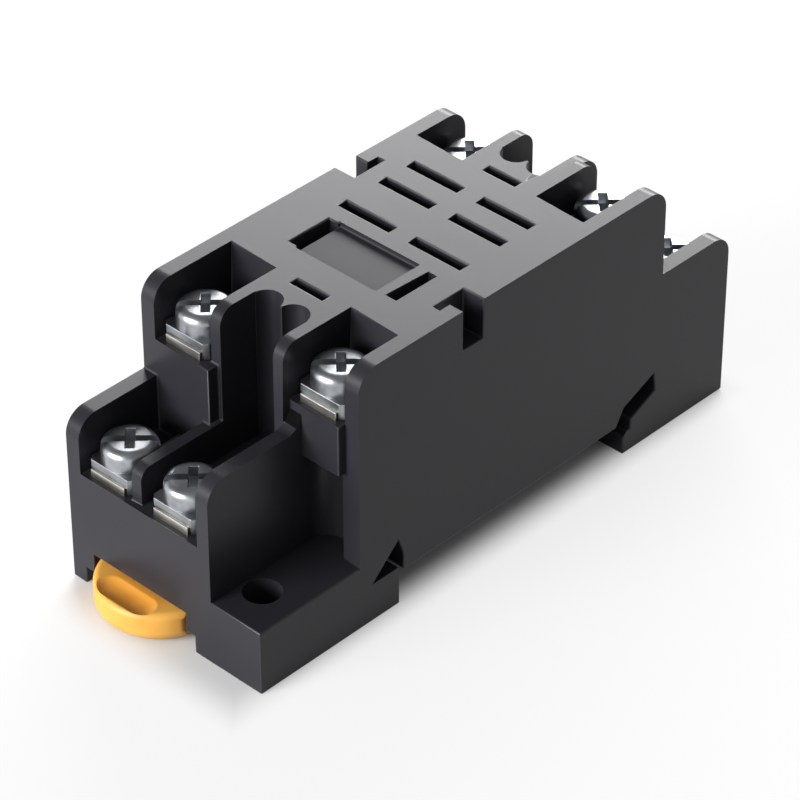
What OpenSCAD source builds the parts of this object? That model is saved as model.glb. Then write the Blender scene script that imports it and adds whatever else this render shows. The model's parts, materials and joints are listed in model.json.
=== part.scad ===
// Relay socket for a 35 mm rail, with screw terminals in two tiers at each end.
// Origin: on the rail seat, on the upright centre line of the housing. +Y runs along the
// housing, away from the end with the slider. +Z points up, to the face the relay stands on.
// Apart from the slider, the rail hook and the contact rows, the housing looks the same
// when it is turned half a turn about Z.

/* [Housing] */
// Width across the rail direction
body_w = 28; // [28:0.5:32]
// Length from end to end
body_l = 72.5; // [72:0.5:78]
// Height of the top face above the rail seat
body_h = 28.3; // [28:0.1:32]
// Height of the lower tier's walls above the rail seat
lower_h = 17; // [16.5:0.1:18]
// How far the feet reach below the rail seat
foot_drop = 4.2; // [4:0.1:6]
// Thickness of the two long side walls
side_wall = 1.9; // [1.6:0.1:2.2]
// Thickness of the ribs between terminals
rib_t = 1.4; // [1:0.1:1.6]
// Share of the free width between the walls that the middle channel takes
channel_share = 0.355; // [0.335:0.005:0.37]
// Radius of the walls' top corners, seen from the side
wall_corner_r = 2.6; // [1:0.1:3]
// Radius of the ribs' top corners
rib_corner_r = 2; // [1:0.1:3]

/* [Ends] */
// Length of an upper pocket over the outer lower terminal
pocket_l = 11.1; // [10.2:0.1:12]
// How much further back the ribs start than that pocket
rib_back = 1.4; // [0.4:0.1:2]
// How much further back the upper terminal over the cut-away corner starts
corner_back = 2.2; // [1.6:0.1:2.6]
// How much further back the side wall over the cut-away corner starts
cut_back = 3.2; // [2.7:0.1:3.8]
// Thickness of the block between the middle channel and the pockets' backs
channel_block = 4.7; // [4.2:0.1:5.2]
// Radius of the two flutes in the back of the middle channel
flute_r = 1.8; // [1.2:0.1:1.85]
// Thickness of the lower tier's inner side wall
lower_wall = 1.7; // [1.2:0.1:2]
// How far the lower tier's inner wall rises above its outer wall
lower_wall_rise = 1.6; // [0:0.1:2.2]
// Height of the divider above the lower terminal seats
divider_h = 4.4; // [3:0.1:6]
// Set-back of the divider from the end
divider_inset = 0.9; // [0.5:0.1:2]
// Height of the mounting ledge above the rail seat
ledge_h = 3.8; // [3:0.1:5]
// Diameter of the mounting holes
hole_d = 4.2; // [3.5:0.1:4.4]
// Distance of a mounting hole from the end
hole_end = 5; // [4.5:0.1:6]
// Wall between a mounting hole and the lower tier's inner wall
hole_gap = 0.3; // [0.2:0.1:0.5]
// Radius of the driver flute behind a mounting hole
driver_r = 2.4; // [2:0.1:2.4]
// Height of the driver flute
driver_h = 11.4; // [8:0.1:11.6]

/* [Rail] */
// Clear gap between the near foot and the tip of the rail hook
rail_gap = 35.5; // [35.3:0.1:36]
// Distance of the rail gap's middle from the housing's middle
rail_shift = 1.7; // [1.4:0.1:2]
// Length of the hook's lip
hook_lip = 1.2; // [0.8:0.1:1.5]
// Height of the hook's lip
hook_h = 2.9; // [2:0.1:3]
// Length of the tilt reliefs cut into the body
relief_l = 4; // [3:0.1:5]
// Height of the tilt reliefs
relief_h = 4.2; // [3:0.1:4.5]
// Height of the slanted slot over the hook
relief_slot = 2.4; // [2:0.1:3]

/* [Relay face] */
// Length of the top face between the pockets of the two ends
relay_l = 27.9; // [27:0.1:29]
// Length of a blade slot
slot_l = 7.3; // [6.5:0.1:7.4]
// Width of a blade slot
slot_w = 1.3; // [1:0.1:1.6]
// Length of a coil blade slot
coil_slot_l = 6; // [5:0.1:6.4]
// Distance from a rib's inner face to a contact slot's middle
slot_inset = 1.25; // [1.15:0.05:1.35]
// How much further out the coil slots lie
coil_out = 2; // [1.9:0.05:2.1]
// Distance from the near pockets' backs to the coil slots' middle
coil_inset = 7.1; // [6.9:0.05:7.3]
// Place of the common contact's slots along the housing
common_y = -0.8; // [-0.9:0.05:-0.6]
// Distance from the far pockets' backs to the closed contact's slots
row_inset = 4.4; // [4.2:0.05:4.6]
// Distance between the closed and the open contact's slots
row_pitch = 4.3; // [4.1:0.05:4.5]
// Length of the two short slots on the centre line
vent_l = 4.6; // [3:0.1:5]
// Width of the short slots
vent_w = 1.1; // [0.8:0.1:1.4]
// Distance of the short slots from the middle
vent_y = 14.5; // [13.5:0.1:15]
// Depth of the short slots
vent_depth = 3; // [1:0.1:4]
// Width of the shallow panel between the coil slots
panel_w = 11.5; // [8:0.1:11.8]
// Length of the shallow panel
panel_l = 6.6; // [5:0.1:7]
// Depth of the shallow panel
panel_depth = 0.6; // [0.3:0.1:1]

/* [Clip notches] */
// Width of the notch in the side wall, along the housing
notch_l = 3; // [2:0.1:4]
// Depth of the notch below the top face
notch_depth = 4.9; // [3:0.1:6]
// Distance of the notch from the middle
notch_y = 5.05; // [4:0.05:6]
// Length of the slot beside the notch
clip_slot_l = 4.5; // [3:0.1:5]
// Width of the slot beside the notch
clip_slot_w = 1; // [0.8:0.1:1.2]
// Wall between that slot and the outside
clip_slot_wall = 1.8; // [1.6:0.1:2]

/* [Terminals] */
// Depth of the terminal seats' plates below their wall tops
plate_depth = 5.9; // [5.7:0.1:6.1]
// Thickness of the terminal strips
strip_t = 1; // [0.8:0.1:1.1]
// Distance from a block's front to the plate
plate_inset = 0.6; // [0.3:0.1:1]
// Distance from a block's front to the screw
screw_inset = 4; // [3.8:0.1:4.2]
// Outer diameter of the screws
screw_d = 3.5; // [3:0.1:3.5]
// Length of the screws under the head
screw_l = 6; // [5.6:0.1:6.2]
// Gap between a screw's head and its pocket's walls
head_gap = 0.35; // [0.3:0.05:0.6]
// Height of the screw heads
head_h = 2.4; // [2:0.1:2.6]
// Gap between a clamp plate and its pocket's walls
clamp_gap = 0.25; // [0.2:0.05:0.35]
// Thickness of a clamp plate's side flanges
flange_t = 0.55; // [0.4:0.05:0.7]
// Length of the clamp plates
clamp_l = 6.2; // [5.6:0.1:6.4]
// Thickness of the clamp plates
clamp_t = 1; // [0.8:0.1:1.2]
// How far the upper strips' feet lie below their plates
foot_depth = 5.9; // [5.6:0.1:6.2]
// Distance from a pocket's back to the far side of its strip's drop
drop_gap = 2; // [1.6:0.1:2.2]

/* [Contacts] */
// Thickness of the clip's spring sheet
clip_t = 0.4; // [0.3:0.05:0.5]
// Width of the clips, along the blade slot
clip_w = 6.3; // [5.5:0.1:6.4]
// Outside thickness of the clips
clip_d = 2.6; // [2.4:0.1:2.7]
// Gap between a clip's jaws
clip_gap = 0.3; // [0.2:0.05:0.5]
// Diameter of the rivet that joins clip and strip
rivet_d = 1; // [0.8:0.1:1.1]

/* [Slider] */
// Width of the slider
slider_w = 13; // [12:0.1:13.4]
// Thickness of the slider
slider_t = 3.3; // [3:0.1:3.4]
// Distance of the slider's middle from the centre line
slider_x = -3.9; // [-4.1:0.1:-3.8]
// How far the finger tab sticks out
tab_out = 4; // [3:0.1:5]
// Radius of the tab's round front
tab_r = 7.1; // [6.8:0.1:7.5]
// How far the tab's top stands above the slider's
tab_rise = 0.5; // [0.3:0.1:0.8]
// Radius of the tab's lower edge
tab_edge_r = 1.5; // [1:0.1:1.8]
// Depth of the finger groove in the tab
groove_depth = 0.5; // [0.3:0.1:0.7]
// How far the latch nose reaches into the rail gap
latch_out = 2.4; // [1.5:0.1:2.6]
// Outer diameter of the slider's spring
spring_d = 2.6; // [2.2:0.1:2.8]
// Wire diameter of the spring
spring_wire = 0.4; // [0.3:0.05:0.5]
// Length of the spring at rest
spring_l = 8; // [7.5:0.1:9]
// Turns of the spring
spring_turns = 6; // [5:1:7]

/* [Base] */
// Thickness of the base plate
base_t = 1.6; // [1.2:0.1:2]
// Diameter of the base plate's rivets
base_rivet_d = 2.4; // [2:0.1:2.6]
// Distance of a rivet from the base plate's end
rivet_inset = 3; // [2.6:0.1:3.6]
// Grip of a rivet above the base plate
rivet_grip = 6; // [4:0.5:7]

/* [Fits] */
// Clearance beside pieces that slide
slide_clear = 0.15; // [0.1:0.05:0.2]
// Clearance beside pieces that are pressed in or lie still
seat_clear = 0.1; // [0.05:0.05:0.15]
// Clearance round a turning screw
screw_clear = 0.05; // [0.02:0.01:0.08]

/* [Hidden] */

$fn = 64;
eps = 0.5;                                   // how far a cut runs past the face it opens

half_l = body_l / 2;
near = -half_l;                              // near end face
inner_x = body_w / 2 - side_wall;            // inner face of the side walls
free_w = 2 * (inner_x - rib_t);              // width left between the walls and ribs
pocket_w = free_w * (1 - channel_share) / 2;
rib_out = inner_x - pocket_w;                // rib face towards the upper pocket
rib_in = rib_out - rib_t;                    // rib face towards the middle channel
low_x = rib_out + lower_wall;                // outside of the lower tier's inner wall
hole_x = low_x + hole_gap + hole_d / 2;      // centre of the mounting holes
pocket_reach = half_l - relay_l / 2;         // from the end to the backs of its pockets
outer_step = pocket_reach - pocket_l;        // set-backs from the end
rib_step = outer_step + rib_back;
corner_step = outer_step + corner_back;
cut_step = outer_step + cut_back;
channel_reach = pocket_reach - channel_block;
plate_hi = body_h - plate_depth;             // top of the upper terminal plates
plate_lo = lower_h - plate_depth;            // top of the lower terminal plates
seat_hi = plate_hi - strip_t;                // upper terminal seats
seat_lo = plate_lo - strip_t;                // lower terminal seats
well_depth = screw_l - clamp_t - strip_t + 0.6;  // wells that take the screws' tips
clamp_w = pocket_w - 2 * clamp_gap;
plate_w = clamp_w - 2 * (flange_t + slide_clear);
head_d = pocket_w - 2 * head_gap;

// Terminals 0 to 3 are at the near end, 4 to 7 are their half-turn copies at the far end.
// In each four come the outer lower, middle lower, outer upper and corner upper one.
outer_x = -(inner_x + rib_out) / 2;
middle_x = (rib_out - rib_in) / 2;
TERMINAL_X = [outer_x, middle_x, outer_x, -outer_x];
TERMINAL_FRONT = [near, near, near + outer_step, near + corner_step];
function place_in_end(k) = k % 4;
function is_far(k) = k >= 4;
function is_upper(k) = place_in_end(k) > 1;
function terminal_x(k) = TERMINAL_X[place_in_end(k)];
function terminal_front(k) = TERMINAL_FRONT[place_in_end(k)];
function terminal_y(k) = terminal_front(k) + screw_inset;
function plate_top(k) = is_upper(k) ? plate_hi : plate_lo;

slot_x = rib_in + slot_inset;
coil_x = slot_x + coil_out;
coil_y = near + pocket_reach + coil_inset;
closed_y = half_l - pocket_reach - row_inset;
open_y = closed_y - row_pitch;

// The clip that a terminal is joined to, in the frame of its own end.
// The lower strips pass under the upper ones' clips and reach the row behind them.
function clip_side(k) = place_in_end(k) % 2 == 0 ? -1 : 1;
function is_coil(k) = is_upper(k) && !is_far(k);
function clip_x(k) = clip_side(k) * (is_coil(k) ? coil_x : slot_x);
function clip_y(k) = is_upper(k) ? (is_far(k) ? -closed_y : coil_y)
                                 : (is_far(k) ? -open_y : common_y);
function clip_foot(k) = is_upper(k) ? foot_z : plate_lo;

shaft_d = clip_d + 1;                        // room for a clip across its blade
shaft_side = 0.3;                            // room beside a clip
shaft_top = body_h - 2;                      // top of the contact shafts
mouth_z = shaft_top - 0.3;                   // top of the clips
foot_z = plate_hi - foot_depth;              // top of the upper strips' feet
drop_back = near + pocket_reach + drop_gap;  // far side of the upper strips' drop
drop_in = -outer_x - plate_w / 2;            // inner edge of the upper strips
drop_w = 3.4;                                // width of their drop and foot
drop_out = drop_in + drop_w;
tongue_skin = 0.4;                           // rib wall beside the outer lower strips' tongues
tongue_edge = -rib_in - tongue_skin - seat_clear;
tongue_w = 4.6;
neck_gap = 0.4;                              // from the clamp plate to the strip's neck
wide_edge = slot_x + clip_w / 2 - 0.2;       // outer edge of the middle lower strips
wide_gap = 0.6;                              // from the channel's back to their wide part
wide_start = near + channel_reach + wide_gap;

tab_bottom = -foot_drop + 0.3;
tab_top = tab_bottom + slider_t + tab_rise;
slider_top = tab_bottom + slider_t;
slot_roof = slider_top + slide_clear;
slider_back = rail_shift - rail_gap / 2;     // rear face of the near foot
ledge_w = 1;                                 // ledges that the slider hangs on
ledge_t = 1.2;
mouth_t = 2.4;                               // depth of the slider's mouth
mouth_gap = 0.4;                             // gap round the tab in the mouth
mouth_low_w = slider_w + 3.4;                // wider part of the mouth below the tab's edge
mouth_low_h = 2.1;
hook_tip = slider_back + rail_gap;
far_foot_face = hook_tip + hook_lip;

shoulder_l = 3;                              // slider's shoulder behind the spring
spring_end = slider_back - shoulder_l;
spring_start = spring_end - spring_l;
spring_z = tab_bottom + slider_t / 2;
window_w = spring_d + 0.8;
post_l = 2;                                  // post that the spring pushes on
peg_d = spring_d - 2 * spring_wire - 0.3;
peg_l = 2;

base_front = slider_back + latch_out + 0.2;
base_back = far_foot_face - relief_slot - 0.2;
RIVET_Y = [base_front + rivet_inset, base_back - rivet_inset];
rivet_l = base_t + rivet_grip;
rivet_head_d = base_rivet_d + 1.8;
rivet_head_h = 0.9;

// The children at the near end, and their half-turn copy at the far end
module both_ends() {
    children();
    rotate([0, 0, 180]) children();
}

// Turns a terminal's piece to its own end
module at_end(k) {
    rotate([0, 0, is_far(k) ? 180 : 0]) children();
}

// A box between its low corner a and its high corner b
module span(a, b) {
    translate(a) cube(b - a);
}

// Extrudes an outline drawn in Y and Z from x0 to x1
module across(x0, x1) {
    translate([x0, 0, 0]) rotate([90, 0, 90]) linear_extrude(x1 - x0) children();
}

// Upright panel in Y and Z, its top corners rounded by r0 at y0 and by r1 at y1
module panel(y0, y1, z0, z1, r0, r1) {
    difference() {
        translate([y0, z0]) square([y1 - y0, z1 - z0]);
        if (r0 > 0) difference() {
            translate([y0 - eps, z1 - r0]) square([r0 + eps, r0 + eps]);
            translate([y0 + r0, z1 - r0]) circle(r0);
        }
        if (r1 > 0) difference() {
            translate([y1 - r1, z1 - r1]) square([r1 + eps, r1 + eps]);
            translate([y1 - r1, z1 - r1]) circle(r1);
        }
    }
}

// Right side wall: the upper tier, and the lower tier beyond it at the far end
module side_panel() {
    across(inner_x, body_w / 2) {
        panel(near + cut_step, half_l - outer_step, 0, body_h, wall_corner_r, wall_corner_r);
        panel(near + pocket_reach, half_l, 0, lower_h, 0, wall_corner_r);
    }
}

// The near end between the side walls: terminal blocks, ribs and the divider
module end_blocks() {
    back = near + pocket_reach + eps;
    span([-inner_x - eps, near, 0], [low_x, back, seat_lo]);
    span([-inner_x - eps, near + outer_step, 0], [-rib_in - eps, back, seat_hi]);
    span([rib_in + eps, near + cut_step, 0], [inner_x + eps, back, seat_hi]);
    span([rib_in + eps, near + corner_step, ledge_h + driver_h], [inner_x, back, seat_hi]);
    span([-rib_out, near + channel_reach, 0], [rib_out, back, body_h]);
    for (x = [-rib_out, rib_in])
        across(x, x + rib_t) panel(near + rib_step, back, 0, body_h, rib_corner_r, 0);
    across(rib_out, low_x) inner_wall();
    across(-rib_out, -rib_in)
        panel(near + divider_inset, near + cut_step + eps, 0, seat_lo + divider_h, 1.5, 0);
}

// Inner wall of the lower tier, rounded up into the corner terminal's block
module inner_wall() {
    top = lower_h + lower_wall_rise;
    panel(near, near + cut_step + eps, 0, top, wall_corner_r, 0);
    difference() {
        translate([near + corner_step - rib_corner_r, top - eps])
            square([rib_corner_r + eps, rib_corner_r + eps]);
        translate([near + corner_step - rib_corner_r, top + rib_corner_r]) circle(rib_corner_r);
    }
}

// Both feet with their mounting ledges and the rail hook
module feet() {
    span([-body_w / 2, near, -foot_drop], [low_x, slider_back, eps]);
    span([low_x - eps, near, -foot_drop], [body_w / 2, slider_back, ledge_h]);
    span([-low_x, far_foot_face, -foot_drop], [body_w / 2, half_l, eps]);
    span([-body_w / 2, far_foot_face, -foot_drop], [-low_x + eps, half_l, ledge_h]);
    across(-body_w / 2, body_w / 2)
        polygon([
            [far_foot_face + eps, -foot_drop],
            [hook_tip, -foot_drop],
            [hook_tip, -foot_drop + hook_h - hook_lip / 2],
            [hook_tip + hook_lip / 2, -foot_drop + hook_h],
            [far_foot_face + eps, -foot_drop + hook_h]]);
}

// Cuts of the near end: channel flutes, driver flute, mounting hole and screw wells
module end_cuts() {
    for (s = [-1, 1])
        translate([s * rib_in / 2, near + channel_reach - 0.2, seat_lo])
            cylinder(h = body_h, r = flute_r);
    translate([hole_x, near + cut_step, ledge_h]) cylinder(h = driver_h, r = driver_r);
    translate([hole_x, near + hole_end, -foot_drop - eps])
        cylinder(h = foot_drop + ledge_h + 2 * eps, d = hole_d);
    for (k = [0:3])
        translate([terminal_x(k), terminal_y(k), plate_top(k) - strip_t - well_depth])
            cylinder(h = well_depth + eps, d = screw_d + 0.7);
    vent_slot();
    clip_notch();
}

// Short slot on the centre line of the top face
module vent_slot() {
    span([-vent_l / 2, -vent_y - vent_w / 2, body_h - vent_depth],
         [vent_l / 2, -vent_y + vent_w / 2, body_h + eps]);
}

// Notch in the right side wall, with the slot beside it
module clip_notch() {
    slot_out = body_w / 2 - clip_slot_wall;
    notch_end = -notch_y + notch_l / 2;
    span([slot_out - clip_slot_w, notch_end - clip_slot_l, body_h - notch_depth],
         [slot_out, notch_end, body_h + eps]);
    span([slot_out - clip_slot_w, notch_end - notch_l, body_h - notch_depth],
         [body_w / 2 + eps, notch_end, body_h + eps]);
}

// Shafts and blade slots of one side of the housing; s is -1 or 1
module contact_cuts(s) {
    w = clip_w + 2 * shaft_side;
    for (y = [common_y, open_y, closed_y]) {
        span([s * slot_x - w / 2, y - shaft_d / 2, 0],
             [s * slot_x + w / 2, y + shaft_d / 2, shaft_top]);
        span([s * slot_x - slot_l / 2, y - slot_w / 2, shaft_top - eps],
             [s * slot_x + slot_l / 2, y + slot_w / 2, body_h + eps]);
    }
    span([s * coil_x - shaft_d / 2, coil_y - w / 2, 0],
         [s * coil_x + shaft_d / 2, coil_y + w / 2, shaft_top]);
    span([s * coil_x - slot_w / 2, coil_y - coil_slot_l / 2, shaft_top - eps],
         [s * coil_x + slot_w / 2, coil_y + coil_slot_l / 2, body_h + eps]);
}

// Room for terminal strip k in the housing, drawn at the near end
module strip_cut(k) {
    c = seat_clear;
    if (is_upper(k)) {
        side = clip_side(k);
        mirror([side < 0 ? 1 : 0, 0, 0]) {
            span([drop_in - c, drop_back - drop_gap - eps, seat_hi],
                 [drop_in + plate_w + c, drop_back + c, plate_hi + c]);
            span([drop_in - c, drop_back - strip_t - c, 0],
                 [drop_out + c, drop_back + c, plate_hi + c]);
            span([foot_edge(k) - c, drop_back - strip_t - c, 0],
                 [drop_out + c, foot_end(k) + c, foot_z + c]);
        }
    }
    else if (clip_side(k) < 0)
        span([tongue_edge - tongue_w - c, neck(k) - eps - c, seat_lo],
             [tongue_edge + c, tongue_end(k) + c, plate_lo + c]);
    else {
        span([middle_x - plate_w / 2 - c, near + channel_reach - eps, seat_lo],
             [wide_edge + c, tongue_end(k) + c, plate_lo + c]);
    }
}

// Inner edge and end of an upper strip's foot, and a lower strip's neck and tongue's end
function foot_edge(k) = abs(clip_x(k)) - clip_d / 2;
function foot_end(k) = clip_y(k) + clip_d / 2;
function neck(k) = terminal_y(k) + clamp_l / 2 + neck_gap;
function tongue_end(k) = clip_y(k) + clip_d / 2;

// Rail tilt reliefs: a wedge behind the latch and a slanted slot over the hook
module tilt_reliefs() {
    wedge_z = slot_roof + 1.1;
    across(-body_w / 2 - eps, body_w / 2 + eps) {
        polygon([
            [slider_back - relief_l, wedge_z],
            [slider_back, wedge_z],
            [slider_back, -eps],
            [slider_back + 0.7, -eps],
            [slider_back + 0.7, relief_h / 2],
            [slider_back, relief_h]]);
        polygon([
            [far_foot_face - relief_slot, -eps],
            [far_foot_face - relief_slot, 0],
            [far_foot_face - relief_slot / 2, relief_slot - 0.3],
            [far_foot_face + relief_l - 0.3, relief_h],
            [far_foot_face + relief_l, relief_h - relief_slot],
            [far_foot_face, 0],
            [far_foot_face, -eps]]);
    }
}

// Channel for the slider with the ledges it hangs on, and its wider mouth
module slider_channel() {
    w = slider_w / 2 + slide_clear;
    translate([slider_x, 0, 0]) {
        span([-w, near, -foot_drop + ledge_t], [w, slider_back + eps, slot_roof]);
        span([-w + ledge_w, near, -foot_drop - eps],
             [w - ledge_w, slider_back + eps, slot_roof]);
        translate([0, near + mouth_t, 0]) rotate([90, 0, 0])
            linear_extrude(mouth_t + eps) mouth_outline();
    }
}

// Outline of the slider's mouth, in X and Z: close round the tab, wider below it
module mouth_outline() {
    w = slider_w + 2 * mouth_gap;
    low = -foot_drop - eps;
    translate([-w / 2, low]) square([w, tab_top + mouth_gap - low]);
    translate([-mouth_low_w / 2, low]) square([mouth_low_w, mouth_low_h + eps]);
}

// Post that hangs from the channel's roof and takes the spring's push
module spring_post() {
    span([slider_x - window_w / 2 + 0.3, spring_start - post_l, tab_bottom],
         [slider_x + window_w / 2 - 0.3, spring_start, slot_roof + eps]);
    translate([slider_x, spring_start - eps, spring_z]) rotate([-90, 0, 0])
        cylinder(h = peg_l + eps, d = peg_d);
}

// Recess in the underside for the base plate, with the holes for its rivets
module base_pocket() {
    span([-inner_x, base_front - seat_clear, -eps],
         [inner_x, base_back + seat_clear, base_t]);
    for (y = RIVET_Y) translate([0, y, 0]) cylinder(h = rivet_l, d = base_rivet_d);
}

module housing() {
    color([0.13, 0.13, 0.14]) difference() {
        union() {
            difference() {
                union() {
                    both_ends() side_panel();
                    both_ends() end_blocks();
                    span([-inner_x - eps, near + pocket_reach, 0],
                         [inner_x + eps, half_l - pocket_reach, body_h]);
                    feet();
                }
                slider_channel();
            }
            spring_post();
        }
        both_ends() end_cuts();
        for (s = [-1, 1]) contact_cuts(s);
        for (k = [0:7]) at_end(k) strip_cut(k);
        span([-coil_x + slot_w / 2, coil_y - panel_l / 2, body_h - panel_depth],
             [-coil_x + slot_w / 2 + panel_w, coil_y + panel_l / 2, body_h + eps]);
        tilt_reliefs();
        base_pocket();
    }
}

module base_plate() {
    color([0.16, 0.16, 0.17]) difference() {
        span([-inner_x + seat_clear, base_front, 0], [inner_x - seat_clear, base_back, base_t]);
        for (y = RIVET_Y) translate([0, y, 0]) {
            translate([0, 0, -eps]) cylinder(h = base_t + 2 * eps, d = base_rivet_d);
            cylinder(h = rivet_head_h, d1 = rivet_head_d, d2 = base_rivet_d);
        }
    }
}

// Flush-headed rivet that holds the base plate
module base_rivet(y) {
    color("silver") translate([0, y, 0]) {
        cylinder(h = rivet_l, d = base_rivet_d);
        cylinder(h = rivet_head_h, d1 = rivet_head_d, d2 = base_rivet_d);
    }
}

module rail_slider() {
    color([0.96, 0.66, 0.2]) translate([slider_x, 0, 0]) {
        difference() {
            union() {
                slider_tab();
                slider_body();
                across(-slider_w / 2 + 1.5, slider_w / 2 - 1.5) latch_outline();
            }
            span([-window_w / 2, spring_start - post_l - 0.1, tab_bottom - eps],
                 [window_w / 2, spring_end, slider_top + eps]);
            finger_groove();
        }
        translate([0, spring_end + eps, spring_z]) rotate([90, 0, 0])
            cylinder(h = peg_l + eps, d = peg_d);
    }
}

// Finger tab: a rounded disc, cut to the slider's width and at the channel's start
module slider_tab() {
    tab_t = tab_top - tab_bottom;
    intersection() {
        translate([0, near - tab_out + tab_r, tab_bottom]) rotate_extrude($fn = 128)
            tab_profile(tab_t);
        span([-slider_w / 2, near - 2 * tab_out, tab_bottom - eps],
             [slider_w / 2, near + mouth_t - 0.3, tab_top + eps]);
    }
}

// Half section of the tab's disc: round lower edge, and a smaller round on the upper edge
module tab_profile(h) {
    top_r = tab_edge_r / 2;
    difference() {
        square([tab_r, h]);
        difference() {
            translate([tab_r - tab_edge_r, -eps]) square([tab_edge_r + eps, tab_edge_r + eps]);
            translate([tab_r - tab_edge_r, tab_edge_r]) circle(tab_edge_r);
        }
        difference() {
            translate([tab_r - top_r, h - top_r]) square([top_r + eps, top_r + eps]);
            translate([tab_r - top_r, h - top_r]) circle(top_r);
        }
    }
}

// Shallow groove with round ends across the tab's top
module finger_groove() {
    r = 3.2;
    reach = 2.4;
    translate([0, near - tab_out / 2 + 0.1, tab_top + r - groove_depth]) {
        translate([-reach, 0, 0]) rotate([0, 90, 0]) cylinder(h = 2 * reach, r = r);
        for (s = [-1, 1]) translate([s * reach, 0, 0]) sphere(r);
    }
}

// Runner behind the tab, stepped so that it hangs on the channel's ledges
module slider_body() {
    start = near + 1;
    narrow = slider_w / 2 - ledge_w - slide_clear;
    span([-slider_w / 2, start, -foot_drop + ledge_t + slide_clear],
         [slider_w / 2, slider_back, slider_top]);
    span([-narrow, start, tab_bottom], [narrow, slider_back, slider_top]);
}

// Latch nose under the rail's edge, with a slope that the rail pushes back
module latch_outline() {
    tip = slider_back + latch_out;
    polygon([
        [slider_back - eps, tab_bottom],
        [slider_back, tab_bottom],
        [tip, tab_bottom + 1.7],
        [tip, slider_top - 0.9],
        [tip - 0.2, slider_top - 0.7],
        [slider_back - eps, slider_top - 0.7]]);
}

// Wire helix along Y between the post and the slider's shoulder
module slider_spring() {
    sides = 6;
    per_turn = 12;
    rings = spring_turns * per_turn;
    r = (spring_d - spring_wire) / 2;
    rise = spring_l - spring_wire;
    function ring_point(i, j) =
        let (turn = 360 * i / per_turn, across = 360 * j / sides,
             reach = r + spring_wire / 2 * cos(across))
        [reach * cos(turn), spring_wire / 2 + rise * i / rings + spring_wire / 2 * sin(across),
         reach * sin(turn)];
    points = [for (i = [0:rings]) for (j = [0:sides - 1]) ring_point(i, j)];
    skin = [for (i = [0:rings - 1]) for (j = [0:sides - 1])
        [i * sides + j, i * sides + (j + 1) % sides,
         (i + 1) * sides + (j + 1) % sides, (i + 1) * sides + j]];
    start_cap = [[for (j = [sides - 1:-1:0]) j]];
    end_cap = [[for (j = [0:sides - 1]) rings * sides + j]];
    color("silver") translate([slider_x, spring_start, spring_z])
        polyhedron(points, concat(skin, start_cap, end_cap));
}

// Stamped strip from the screw's seat to the clip, with the rivet that holds the clip
module terminal_strip(k) {
    x = terminal_x(k);
    y0 = terminal_front(k) + plate_inset;
    top = plate_top(k);
    color([0.8, 0.78, 0.7]) at_end(k) difference() {
        union() {
            if (is_upper(k)) upper_strip(k, y0);
            else lower_strip(k, y0);
            translate([clip_x(k), clip_y(k), clip_foot(k) - strip_t / 2]) {
                cylinder(h = strip_t / 2 + clip_t, d = rivet_d, $fn = 24);
                translate([0, 0, strip_t / 2 + clip_t])
                    cylinder(h = 0.3, d1 = rivet_d + 0.7, d2 = rivet_d, $fn = 24);
            }
        }
        translate([x, terminal_y(k), top - strip_t - eps])
            cylinder(h = strip_t + 2 * eps, d = screw_d + 2 * screw_clear);
    }
}

// Upper strip: seat, drop behind the pocket and foot under the clip
module upper_strip(k, y0) {
    mirror([clip_side(k) < 0 ? 1 : 0, 0, 0]) {
        span([drop_in, y0, seat_hi], [drop_in + plate_w, drop_back, plate_hi]);
        span([drop_in, drop_back - strip_t, foot_z - strip_t], [drop_out, drop_back, plate_hi]);
        span([foot_edge(k), drop_back - strip_t, foot_z - strip_t],
             [drop_out, foot_end(k), foot_z]);
    }
}

// Lower strip: flat, with a tongue under the upper terminal to the row behind it
module lower_strip(k, y0) {
    x = terminal_x(k);
    start = neck(k) - eps;
    span([x - plate_w / 2, y0, seat_lo], [x + plate_w / 2, neck(k), plate_lo]);
    if (clip_side(k) < 0)
        span([tongue_edge - tongue_w, start, seat_lo], [tongue_edge, tongue_end(k), plate_lo]);
    else {
        span([x - plate_w / 2, start, seat_lo], [x + plate_w / 2, wide_start + eps, plate_lo]);
        span([x - plate_w / 2, wide_start, seat_lo], [wide_edge, tongue_end(k), plate_lo]);
    }
}

// Spring clip: a foot and two legs that pinch the blade and open out at the mouth
module contact_clip(k) {
    z = clip_foot(k);
    w = is_coil(k) ? coil_slot_l : clip_w;
    color([0.85, 0.65, 0.35]) at_end(k) translate([clip_x(k), clip_y(k), z])
        rotate([0, 0, is_coil(k) ? 90 : 0]) difference() {
            across(-w / 2, w / 2) clip_outline(mouth_z - z);
            translate([0, 0, -eps]) cylinder(h = clip_t + 2 * eps, d = rivet_d, $fn = 24);
        }
}

// Outline of a clip of height h, in Y and Z
module clip_outline(h) {
    out = clip_d / 2;
    pinch = clip_gap / 2 + clip_t;
    waist = h - 2;
    polygon([
        [-out, 0], [out, 0],
        [out, 1.2], [pinch, waist], [out, h],
        [out - clip_t, h], [pinch - clip_t, waist], [out - clip_t, 1.2],
        [out - clip_t, clip_t], [clip_t - out, clip_t],
        [clip_t - out, 1.2], [clip_t - pinch, waist], [clip_t - out, h],
        [-out, h], [-pinch, waist], [-out, 1.2]]);
}

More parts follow.
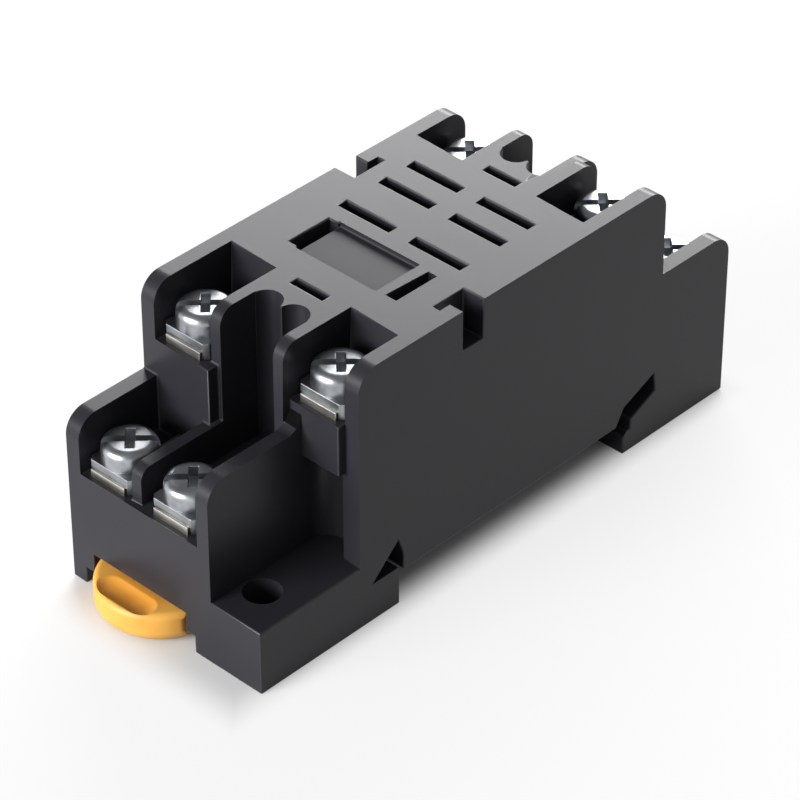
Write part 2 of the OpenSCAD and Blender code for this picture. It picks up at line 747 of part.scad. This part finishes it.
// Captive plate that presses the wire, with side flanges that keep it square
module clamp_plate(k) {
    top = plate_top(k);
    color([0.82, 0.83, 0.85]) at_end(k) translate([terminal_x(k), terminal_y(k), top])
        difference() {
            intersection() {
                union() {
                    span([-clamp_w / 2, -clamp_l / 2, 0], [clamp_w / 2, clamp_l / 2, clamp_t]);
                    for (s = [-1, 1])
                        translate([s * (clamp_w - flange_t) / 2 - flange_t / 2, -clamp_l / 2,
                                   -strip_t + seat_clear])
                            cube([flange_t, clamp_l, strip_t]);
                }
                translate([0, 0, -strip_t]) cylinder(h = strip_t + clamp_t, r = clamp_w * 0.64);
            }
            translate([0, 0, -eps]) cylinder(h = clamp_t + 2 * eps, d = screw_d + 4 * screw_clear);
        }
}

// Pan-head screw with a slot and a cross recess, tightened down on its clamp plate
module terminal_screw(k) {
    color([0.85, 0.86, 0.88]) at_end(k)
        translate([terminal_x(k), terminal_y(k), plate_top(k) + clamp_t]) difference() {
            union() {
                rotate_extrude() intersection() {
                    panel(-head_d / 2, head_d / 2, 0, head_h, head_h * 0.4, head_h * 0.4);
                    square([head_d, head_h]);
                }
                translate([0, 0, -screw_l + 0.5]) cylinder(h = screw_l, d = screw_d);
                translate([0, 0, -screw_l]) cylinder(h = 0.5, d1 = screw_d - 1, d2 = screw_d);
            }
            drive_recess();
        }
}

// Slot right across the head, and a shorter and deeper cross
module drive_recess() {
    slot = [2 * head_d, head_d * 0.15, head_h * 0.33];
    arm = [head_d * 0.56, head_d * 0.16, head_h * 0.54];
    rotate([0, 0, 45])
        translate([-slot.x / 2, -slot.y / 2, head_h - slot.z]) cube(slot + [0, 0, eps]);
    for (a = [0, 90]) rotate([0, 0, 45 + a])
        translate([-arm.x / 2, -arm.y / 2, head_h - arm.z]) cube(arm + [0, 0, eps]);
}

housing();
base_plate();
base_rivet(RIVET_Y[0]);  // base_rivet_near
base_rivet(RIVET_Y[1]);  // base_rivet_far
rail_slider();
slider_spring();
for (k = [0:7]) {
    terminal_strip(k);
    contact_clip(k);
    clamp_plate(k);
    terminal_screw(k);
}
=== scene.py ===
# %% [markdown]
# # A relay socket, dressed for its portrait
# This lesson takes a finished mechanical model of a plug-in relay socket and gives it the look
# of the real thing: black moulded plastic, a yellow rail slider and plated screw terminals.
# The mechanical model is the frame. Its pieces are already the right shape and in the right
# place, in metres, so the work here is edges, surfaces, light and the camera.

# %% Load the frame
import json
import math

import bmesh
import bpy
from mathutils import Euler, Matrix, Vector

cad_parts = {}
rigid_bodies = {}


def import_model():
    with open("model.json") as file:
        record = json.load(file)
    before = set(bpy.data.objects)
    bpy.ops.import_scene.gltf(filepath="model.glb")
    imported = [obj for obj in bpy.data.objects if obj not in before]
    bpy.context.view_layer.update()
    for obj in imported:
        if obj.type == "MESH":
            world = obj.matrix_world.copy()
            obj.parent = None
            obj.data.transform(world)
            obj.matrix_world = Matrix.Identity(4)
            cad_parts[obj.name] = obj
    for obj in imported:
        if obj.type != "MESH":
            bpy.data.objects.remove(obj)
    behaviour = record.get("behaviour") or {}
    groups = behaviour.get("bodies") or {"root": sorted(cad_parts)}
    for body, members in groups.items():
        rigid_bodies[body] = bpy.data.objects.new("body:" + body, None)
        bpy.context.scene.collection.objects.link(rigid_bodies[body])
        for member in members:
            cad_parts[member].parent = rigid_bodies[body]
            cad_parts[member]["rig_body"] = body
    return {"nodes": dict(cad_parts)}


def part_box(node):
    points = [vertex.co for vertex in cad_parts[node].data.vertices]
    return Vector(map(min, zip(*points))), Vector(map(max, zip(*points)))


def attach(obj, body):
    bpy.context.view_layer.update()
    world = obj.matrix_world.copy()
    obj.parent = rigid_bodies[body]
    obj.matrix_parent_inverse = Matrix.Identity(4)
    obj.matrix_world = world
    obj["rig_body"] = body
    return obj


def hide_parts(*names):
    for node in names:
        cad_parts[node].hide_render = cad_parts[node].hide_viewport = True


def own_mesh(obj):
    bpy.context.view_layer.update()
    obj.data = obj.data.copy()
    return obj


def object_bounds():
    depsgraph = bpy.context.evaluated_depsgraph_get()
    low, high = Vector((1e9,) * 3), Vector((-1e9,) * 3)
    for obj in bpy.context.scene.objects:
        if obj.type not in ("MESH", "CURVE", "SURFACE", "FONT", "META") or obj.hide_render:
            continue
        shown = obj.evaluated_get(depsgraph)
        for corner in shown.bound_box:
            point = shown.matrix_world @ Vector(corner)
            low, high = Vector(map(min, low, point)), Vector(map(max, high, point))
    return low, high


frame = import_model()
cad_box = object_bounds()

scene = bpy.context.scene

# %% [markdown]
# ## The camera
# The photograph looks down on the socket from its near right corner with a long lens, so the
# long edges stay almost parallel. The place and turn below were found by fitting a camera to
# the socket's corners in the photograph. A camera is set up first, because every later choice
# is judged through it.

# %% Camera
MM = 0.001
CAMERA_PLACE = (0.2329, -0.24525, 0.2565)
CAMERA_DOWN = math.radians(36.47)
CAMERA_ROUND = math.radians(43.64)
CAMERA_ROLL = math.radians(0.03)

camera = bpy.data.objects.new("camera", bpy.data.cameras.new("camera"))
scene.collection.objects.link(camera)
camera.location = CAMERA_PLACE
camera.rotation_euler = Euler((math.pi / 2 - CAMERA_DOWN, CAMERA_ROLL, CAMERA_ROUND))
camera.data.lens = 176.4
camera.data.sensor_width = 36
camera.data.clip_start = 0.01
scene.camera = camera
print("camera at", [round(c, 3) for c in camera.location])

# %% [markdown]
# ## Floor and backdrop
# The photograph is cut out on white. A floor that is only very bright would throw its light
# back up at the black plastic, so the white is made with the Light Path node: rays from the
# camera, off something shiny or through something clear see a white that isn't lit, and rays
# that carry light see a dull grey. Some ordinary white paint is mixed in, which keeps the soft
# shadow beside the feet, and right under the socket there is only the paint. The floor is a
# disc whose rim curls up into a low wall, so a low view sees no horizon. The Standard view
# transform leaves the white as it is.

# %% Floor
scene.view_settings.view_transform = "Standard"
FLOOR_REACH = 1.5
WALL_RISE = 0.5
GLOW_SHARE = 0.8
SHADOW_FADE = 6 * MM


def new_material(name):
    """An empty node material, its shader, and its node tree."""
    made = bpy.data.materials.new(name)
    made.use_nodes = True
    tree = made.node_tree
    return made, tree, tree.nodes["Principled BSDF"]


def math_node(tree, operation, *values):
    """A maths node on some values, each a socket or a number."""
    node = tree.nodes.new("ShaderNodeMath")
    node.operation = operation
    for value, socket in zip(values, node.inputs):
        if isinstance(value, (int, float)):
            socket.default_value = value
        else:
            tree.links.new(value, socket)
    return node.outputs[0]


def white_for_camera(tree):
    """1 for rays from the camera, a mirror or glass, and 0 for rays that carry light."""
    rays = tree.nodes.new("ShaderNodeLightPath").outputs
    shiny = math_node(tree, "MAXIMUM", rays["Is Glossy Ray"], rays["Is Transmission Ray"])
    return math_node(tree, "MAXIMUM", rays["Is Camera Ray"], shiny)


def inside_box(tree, low, high, fade):
    """1 inside a box in object space, falling to 0 over a distance that straddles its faces."""
    place = tree.nodes.new("ShaderNodeTexCoord")
    parts = tree.nodes.new("ShaderNodeSeparateXYZ")
    tree.links.new(place.outputs["Object"], parts.inputs["Vector"])
    deepest = None
    for axis, a, b in zip("XYZ", low, high):
        offset = math_node(tree, "SUBTRACT", parts.outputs[axis], (a + b) / 2)
        depth = math_node(tree, "SUBTRACT", (b - a) / 2, math_node(tree, "ABSOLUTE", offset))
        deepest = depth if deepest is None else math_node(tree, "MINIMUM", deepest, depth)
    soft = tree.nodes.new("ShaderNodeMapRange")
    soft.interpolation_type = "SMOOTHSTEP"
    soft.inputs["From Min"].default_value = -fade / 2
    soft.inputs["From Max"].default_value = fade / 2
    tree.links.new(deepest, soft.inputs["Value"])
    return soft.outputs["Result"]


def floor_material():
    """Dull grey to the light that it bounces, and white with a shadow to the camera."""
    made, tree, dull = new_material("studio_floor")
    dull.inputs["Base Color"].default_value = (0.3, 0.3, 0.3, 1)
    dull.inputs["Roughness"].default_value = 0.9
    dull.inputs["Specular IOR Level"].default_value = 0
    white = tree.nodes.new("ShaderNodeBsdfDiffuse")
    white.inputs["Color"].default_value = (0.9, 0.9, 0.9, 1)
    glow = tree.nodes.new("ShaderNodeEmission")
    glow.inputs["Color"].default_value = (1, 1, 1, 1)
    low, high = cad_box
    under = inside_box(tree, (low.x, low.y, -1), (high.x, high.y, 1), SHADOW_FADE)
    share = math_node(tree, "MULTIPLY", math_node(tree, "SUBTRACT", 1, under), GLOW_SHARE)
    lifted = tree.nodes.new("ShaderNodeMixShader")
    tree.links.new(share, lifted.inputs["Fac"])
    tree.links.new(white.outputs[0], lifted.inputs[1])
    tree.links.new(glow.outputs[0], lifted.inputs[2])
    switch = tree.nodes.new("ShaderNodeMixShader")
    tree.links.new(white_for_camera(tree), switch.inputs["Fac"])
    tree.links.new(dull.outputs[0], switch.inputs[1])
    tree.links.new(lifted.outputs[0], switch.inputs[2])
    tree.links.new(switch.outputs[0], tree.nodes["Material Output"].inputs["Surface"])
    return made


def make_floor():
    """A round floor at the level of the feet, curling up into a low wall at its rim."""
    mesh = bpy.data.meshes.new("floor")
    bm = bmesh.new()
    bmesh.ops.create_circle(bm, cap_ends=True, segments=96, radius=FLOOR_REACH)
    rim = list(bm.edges)
    grown = bmesh.ops.extrude_edge_only(bm, edges=rim)["geom"]
    top = [part for part in grown if isinstance(part, bmesh.types.BMVert)]
    bmesh.ops.translate(bm, verts=top, vec=(0, 0, WALL_RISE))
    bmesh.ops.bevel(bm, geom=rim, offset=WALL_RISE / 2, offset_type="OFFSET", segments=12,
                    profile=0.5, affect="EDGES", material=-1)
    bmesh.ops.translate(bm, verts=bm.verts, vec=(0, 0, cad_box[0].z))
    bmesh.ops.recalc_face_normals(bm, faces=bm.faces)
    bm.to_mesh(mesh)
    bm.free()
    mesh.shade_smooth()
    made = bpy.data.objects.new("floor", mesh)
    scene.collection.objects.link(made)
    mesh.materials.append(floor_material())


make_floor()
print("floor at", round(cad_box[0].z / MM, 2), "mm")

# %% [markdown]
# ## Light
# In the photograph the flat top has a pale sheen, the far screws are bright and the near
# pockets are almost black. A wide lamp low behind the socket gives all three: its light skims
# over the top, and the near pockets' back walls keep it out. A second soft lamp in front and to
# the left lights the near end and the yellow tab, but never reaches the long right side. The
# world adds a little even light, the same to every kind of ray.

# %% World
WORLD_LEVEL = 0.25
world = bpy.data.worlds.new("studio")
scene.world = world
world.use_nodes = True
sky = world.node_tree.nodes["Background"]
sky.inputs["Color"].default_value = (1, 1, 1, 1)
sky.inputs["Strength"].default_value = WORLD_LEVEL
print("world level", WORLD_LEVEL)


# %% Lamps
def soft_lamp(name, azimuth, elevation, distance, width, height, power):
    """A flat lamp on a sphere round the socket, turned to face it."""
    data = bpy.data.lights.new(name, "AREA")
    data.shape = "RECTANGLE"
    data.size = width
    data.size_y = height
    data.energy = power
    lamp = bpy.data.objects.new(name, data)
    scene.collection.objects.link(lamp)
    turned, up = math.radians(azimuth), math.radians(elevation)
    level = math.cos(up)
    away = Vector((math.sin(turned) * level, -math.cos(turned) * level, math.sin(up)))
    lamp.location = away * distance
    lamp.rotation_euler = (-away).to_track_quat("-Z", "Y").to_euler()


soft_lamp("back_lamp", azimuth=214, elevation=24, distance=0.9,
          width=0.8, height=0.3, power=12.5)
soft_lamp("front_lamp", azimuth=-13, elevation=17, distance=0.8,
          width=0.45, height=0.35, power=9.5)

# %% [markdown]
# ## Rounded edges
# No moulded or stamped edge is truly sharp. A mould rounds plastic by a tenth or two of a
# millimetre, and that thin round is what catches the light along every edge. The frame's meshes
# are loose triangles, so a copy is welded, its flat faces are joined, and only the edges that
# really turn are bevelled. A Bevel modifier could round them too, but the operator hands back
# the new faces, which can then be marked for a paler colour: partly wear, partly a painted
# highlight. Where two edges run closer together than the bevels need, the bevels would cut
# through each other and leave stray faces, so those edges stay sharp. The small plates and clips
# also have their hollow-sided faces split first, for the same reason.
#
# The bevel also marks how much each face counts, so that flat faces keep their own shading. It
# is smoothed only across turns of less than 20 degrees: with 35, the small triangles at the end
# of a bevel carried the side's shading onto the flat top.

# %% Limits for the rounding
# The mark on bevel faces for paler edges: partly wear, partly a painted highlight.
WEAR_AND_HIGHLIGHT = "edge_wear_and_highlight"
WELD_REACH = 0.001 * MM
FLAT_TURN = math.radians(0.6)
SMOOTH_TURN = math.radians(20)
BEVEL_TURN = math.radians(28)
BEVEL_ROOM = 3
SAME_LINE = 0.01 * MM
SAME_WAY = 0.9
print("edges that turn by over", round(math.degrees(BEVEL_TURN)), "degrees are bevelled, where",
      "another is at least", BEVEL_ROOM, "bevel widths away")


# %% Which edges have room for a bevel
def inside(edge, boxes):
    """Whether an edge's middle lies in one of some boxes, each its lowest and highest corner."""
    middle = (edge.verts[0].co + edge.verts[1].co) / 2
    return any(all(a <= p <= b for p, a, b in zip(middle, *box)) for box in boxes)


def off_line(point, edge):
    """How far a point lies from the line through an edge."""
    start, end = (v.co for v in edge.verts)
    return (point - start).cross((end - start).normalized()).length


def crowded(edge, sharp, least):
    """Whether a face beside an edge is narrow, or another sharp edge runs close along it."""
    way = (edge.verts[1].co - edge.verts[0].co).normalized()
    for face in edge.link_faces:
        if max(off_line(v.co, edge) for v in face.verts) < least:
            return True
        for other in face.edges:
            if other not in sharp or set(other.verts) & set(edge.verts):
                continue
            start, end = (v.co for v in other.verts)
            level = abs((end - start).normalized().dot(way)) > SAME_WAY
            if level and SAME_LINE < off_line((start + end) / 2, edge) < least:
                return True
    return False


print("edge tests: inside a box, distance from a line, crowded")


# %% A rounded copy of a frame piece
def rounded_copy(node, width, segments=2, spare=(), split=False):
    """A welded copy of a frame piece, its sharp edges outside the spare boxes rounded by width."""
    bm = bmesh.new()
    bm.from_mesh(frame["nodes"][node].data)
    bmesh.ops.remove_doubles(bm, verts=bm.verts, dist=WELD_REACH)
    bmesh.ops.dissolve_limit(bm, angle_limit=FLAT_TURN, verts=bm.verts, edges=bm.edges)
    sharp = {e for e in bm.edges if e.is_manifold and e.calc_face_angle(0) > BEVEL_TURN
             and not inside(e, spare)}
    sharp = [e for e in bm.edges if e in sharp and not crowded(e, sharp, BEVEL_ROOM * width)]
    if split:
        bmesh.ops.connect_verts_concave(bm, faces=bm.faces)
    # Bevel faces get a mark for a paler colour, partly wear and partly a painted highlight.
    wear_and_highlight = bm.faces.layers.float.new(WEAR_AND_HIGHLIGHT)
    rounded = bmesh.ops.bevel(bm, geom=sharp, offset=width, offset_type="OFFSET",
                              segments=segments, profile=0.5, affect="EDGES", material=-1,
                              clamp_overlap=False, face_strength_mode="ALL")
    for face in rounded["faces"]:
        face[wear_and_highlight] = 1
    mesh = bpy.data.meshes.new(node + "_rounded")
    bm.to_mesh(mesh)
    bm.free()
    mesh.shade_smooth()
    mesh.set_sharp_from_angle(angle=SMOOTH_TURN)
    piece = bpy.data.objects.new(node + "_rounded", mesh)
    scene.collection.objects.link(piece)
    level = piece.modifiers.new("flat faces stay flat", "WEIGHTED_NORMAL")
    level.keep_sharp = True
    level.use_face_influence = True
    return piece


def dress(node, width, finish, segments=2, spare=(), split=False):
    """Swaps a frame piece for its rounded copy, in its finish, on the same body."""
    piece = rounded_copy(node, width, segments, spare, split)
    piece.data.materials.clear()
    piece.data.materials.append(finish)
    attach(piece, frame["nodes"][node]["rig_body"])
    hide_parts(node)
    return piece


print("new faces get", WEAR_AND_HIGHLIGHT, "= 1")

# %% [markdown]
# ## Black moulded plastic
# The housing is most likely glass-filled nylon. It isn't a plain black: the mould leaves a fine
# grain, the surface is a little cloudy where the resin flowed, and its edges are painted slightly
# paler, partly as wear from handling and partly as a painted highlight. The grain and the
# cloudiness come from noise in object space, at the scale of the real surface, and drive bump,
# roughness and a small change of colour. The roughness stays above 0.28: where it crossed about
# 0.27, a faint wavy line showed on the flat top. The panel sunk into the top is duller than the
# rest, so a box round it adds to the roughness there. One edge under the near foot's lip is too
# thin to take a bevel, and another box keeps it sharp.


# %% Helpers for patterns
def object_noise(tree, scale, detail, roughness=0.5):
    """A noise texture on object coordinates, with a scale in features per metre."""
    place = tree.nodes.new("ShaderNodeTexCoord")
    noise = tree.nodes.new("ShaderNodeTexNoise")
    noise.inputs["Scale"].default_value = scale
    noise.inputs["Detail"].default_value = detail
    noise.inputs["Roughness"].default_value = roughness
    tree.links.new(place.outputs["Object"], noise.inputs["Vector"])
    return noise.outputs["Fac"]


def two_tone(tree, factor, low, high, start=0.3, end=0.7):
    """A colour ramp between two colours over part of a factor's range."""
    ramp = tree.nodes.new("ShaderNodeValToRGB")
    ramp.color_ramp.elements[0].position = start
    ramp.color_ramp.elements[0].color = (*low, 1)
    ramp.color_ramp.elements[1].position = end
    ramp.color_ramp.elements[1].color = (*high, 1)
    tree.links.new(factor, ramp.inputs["Fac"])
    return ramp.outputs["Color"]


def spread(tree, factor, low, high):
    """Maps a factor from 0 to 1 onto a range of numbers."""
    scale = tree.nodes.new("ShaderNodeMapRange")
    scale.inputs["To Min"].default_value = low
    scale.inputs["To Max"].default_value = high
    tree.links.new(factor, scale.inputs["Value"])
    return scale.outputs["Result"]


def bump(tree, height, distance, strength):
    """A bump from a height factor, with its depth in metres."""
    node = tree.nodes.new("ShaderNodeBump")
    node.inputs["Distance"].default_value = distance
    node.inputs["Strength"].default_value = strength
    tree.links.new(height, node.inputs["Height"])
    return node.outputs["Normal"]


def mixed(tree, factor, low, high):
    """One colour turned into another by a factor."""
    mix = tree.nodes.new("ShaderNodeMix")
    mix.data_type = "RGBA"
    tree.links.new(factor, mix.inputs["Factor"])
    for value, socket in ((low, mix.inputs["A"]), (high, mix.inputs["B"])):
        if isinstance(value, tuple):
            socket.default_value = (*value, 1)
        else:
            tree.links.new(value, socket)
    return mix.outputs["Result"]


def worn_and_highlit_edges(tree, patchiness):
    """Up to 1 on the rounded edges, for wear from handling and a painted highlight, broken up by
    noise.
    """
    edge = tree.nodes.new("ShaderNodeAttribute")
    edge.attribute_name = WEAR_AND_HIGHLIGHT
    patches = spread(tree, object_noise(tree, patchiness, 3), 0.2, 1)
    return math_node(tree, "MULTIPLY", edge.outputs["Fac"], patches)


print("pattern helpers: noise, two tones, spread, bump, mix, wear")


# %% Black plastic
PANEL_BOX = ((-6.4 * MM, -10.15 * MM, 27.4 * MM), (5.1 * MM, -3.55 * MM, 28 * MM))
LIP_BOX = ((-14.1 * MM, -20.2 * MM, 0.5 * MM), (14.1 * MM, -19.9 * MM, 0.8 * MM))
PANEL_DULLING = 0.22


def black_plastic():
    """Moulded black nylon: cloudy, finely grained, half glossy, paler on its edges as wear and a
    painted highlight.
    """
    made, tree, shader = new_material("black_plastic")
    cloud = object_noise(tree, 90, 3)
    grain = object_noise(tree, 5200, 2, 0.6)
    body = two_tone(tree, cloud, (0.021, 0.021, 0.026), (0.029, 0.029, 0.035), 0.1, 0.9)
    # The bevelled edges are painted paler: partly wear, partly a painted highlight.
    tree.links.new(mixed(tree, worn_and_highlit_edges(tree, 400), body, (0.062, 0.062, 0.066)),
                   shader.inputs["Base Color"])
    panel = inside_box(tree, *PANEL_BOX, 0.05 * MM)
    sheen = spread(tree, cloud, 0.285, 0.375)
    tree.links.new(math_node(tree, "MULTIPLY_ADD", panel, PANEL_DULLING, sheen),
                   shader.inputs["Roughness"])
    tree.links.new(bump(tree, grain, 0.012 * MM, 0.35), shader.inputs["Normal"])
    shader.inputs["IOR"].default_value = 1.45
    shader.inputs["Specular IOR Level"].default_value = 0.24
    return made


PLASTIC = black_plastic()
housing = dress("housing", 0.16 * MM, PLASTIC, spare=(LIP_BOX,))
print("housing:", len(housing.data.polygons), "faces")


# %% [markdown]
# ## The base plate
# A thin plate closes the underside. It needs no finish of its own: the housing's plastic reads
# each piece's own object coordinates and edge marks, for wear and a painted highlight, so one
# material serves both. The two rivets that hold the plate are dressed with the other metal below.

# %% Base plate
base = dress("base_plate", 0.1 * MM, PLASTIC)
print("base plate:", len(base.data.polygons), "faces")

# %% [markdown]
# ## The rail slider
# The slider is a yellow moulding, most likely acetal, which is a little waxy: light goes a short
# way in, so a touch of subsurface scattering softens it. The groove, the tab's top next to the
# housing and the runner's top are painted a deeper orange as shade; the rest, its rim included,
# keeps the paler yellow. A bevel fails where an edge runs almost along a round face: at the
# groove's rim it makes slivers, and where the tab's round lower edge meets the runner it throws
# long spikes. The edges in a box round each of these stay as they are.

# %% Where the groove and the runner's join lie
slider_low, slider_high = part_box("rail_slider")
front_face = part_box("housing")[0].y
GROOVE_BOX = ((slider_low.x, slider_low.y, slider_high.z - 1.5 * MM),
              (slider_high.x, front_face - 0.2 * MM, slider_high.z + 0.1 * MM))
JOIN_BOX = ((slider_low.x - MM, front_face + 0.6 * MM, slider_low.z - MM),
            (slider_high.x + MM, front_face + 2.3 * MM, slider_high.z + MM))
tab_middle = (slider_low.x + slider_high.x) / 2
# In this box the yellow is painted a deeper orange, as shade in the groove and next to the
# housing.
SHADE_BOX = ((tab_middle - 3.6 * MM, front_face - 3.1 * MM, slider_high.z - 1.4 * MM),
            (tab_middle + 3.6 * MM, front_face + 40 * MM, slider_high.z + MM))
print("tab reaches", round((front_face - slider_low.y) / MM, 2), "mm past the housing")


# %% Yellow plastic
def yellow_plastic():
    """Waxy orange-yellow moulding, faintly cloudy, with painted shade in the groove and by the
    housing.
    """
    made, tree, shader = new_material("yellow_plastic")
    cloud = object_noise(tree, 260, 3)
    grain = object_noise(tree, 4200, 2, 0.6)
    pale = two_tone(tree, cloud, (0.86, 0.41, 0.065), (0.95, 0.52, 0.11), 0.1, 0.9)
    # The deeper orange is painted shade.
    painted_shade = two_tone(tree, cloud, (0.76, 0.29, 0.03), (0.90, 0.41, 0.058), 0.1, 0.9)
    in_shade = inside_box(tree, *SHADE_BOX, 2.6 * MM)
    tree.links.new(mixed(tree, in_shade, pale, painted_shade), shader.inputs["Base Color"])
    tree.links.new(spread(tree, cloud, 0.42, 0.52), shader.inputs["Roughness"])
    tree.links.new(bump(tree, grain, 0.012 * MM, 0.3), shader.inputs["Normal"])
    shader.inputs["Subsurface Weight"].default_value = 0.12
    shader.inputs["Subsurface Radius"].default_value = (0.0012, 0.0006, 0.0002)
    shader.inputs["Subsurface Scale"].default_value = 1
    return made


slider = dress("rail_slider", 0.12 * MM, yellow_plastic(),
               spare=(GROOVE_BOX, JOIN_BOX))
print("slider:", len(slider.data.polygons), "faces")

# %% [markdown]
# ## Plated metal
# The screws are bright zinc over steel, the clamp plates and rivets the same but duller, and the
# strips and clips are tinned brass. Plating is never even: a fine grain and small dull patches
# break up its shine. One helper makes all four metals, because only their colour, roughness and
# grain differ.


# %% Metals
def plated(name, low, high, rough_low, rough_high, grain_scale):
    """Bright metal with dull patches and a fine grain."""
    made, tree, shader = new_material(name)
    shader.inputs["Metallic"].default_value = 1
    patch = object_noise(tree, 600, 3)
    grain = object_noise(tree, grain_scale, 2, 0.6)
    tree.links.new(two_tone(tree, patch, low, high), shader.inputs["Base Color"])
    tree.links.new(spread(tree, patch, rough_low, rough_high), shader.inputs["Roughness"])
    tree.links.new(bump(tree, grain, 0.008 * MM, 0.4), shader.inputs["Normal"])
    return made


ZINC = plated("bright_zinc", (0.30, 0.31, 0.33), (0.47, 0.49, 0.52), 0.28, 0.38, 3500)
ROLLED = plated("rolled_zinc", (0.28, 0.29, 0.31), (0.41, 0.43, 0.45), 0.29, 0.42, 2600)
TINNED = plated("tinned_brass", (0.46, 0.44, 0.40), (0.60, 0.58, 0.53), 0.28, 0.4, 2600)
SPRING = plated("spring_steel", (0.45, 0.46, 0.48), (0.60, 0.61, 0.63), 0.28, 0.36, 2600)
print("metals:", [metal.name for metal in (ZINC, ROLLED, TINNED, SPRING)])

# %% Terminals
TERMINALS = range(1, 9)
for k in TERMINALS:
    dress(f"terminal_screw_{k}", 0.07 * MM, ZINC)
    dress(f"clamp_plate_{k}", 0.06 * MM, ROLLED, split=True)
    dress(f"terminal_strip_{k}", 0.06 * MM, TINNED)
    dress(f"contact_clip_{k}", 0.03 * MM, TINNED, split=True)
for side in ("near", "far"):
    dress(f"base_rivet_{side}", 0.06 * MM, ROLLED)
print("metal pieces:", 4 * len(TERMINALS) + 2)

# %% [markdown]
# ## The slider's spring
# A small coil spring sits between a fixed post and a shoulder on the slider. Pulling the tab
# moves the shoulder towards the post, so the coil has to get shorter by exactly that travel,
# and its end at the post has to stay where it is. A coil reshaped for one pose would be wrong at
# every other. Here the spring is only dressed and given a mesh of its own; no squash is set up.

# %% Spring
spring = dress("slider_spring", 0.02 * MM, SPRING, 1)
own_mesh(spring)

# %% [markdown]
# ## Sizes
# The dressed model has to stay inside the frame's box. Here only the frame's box is printed.

# %% Print the frame's box
print("cad", [[round(v / MM, 2) for v in c] for c in cad_box])
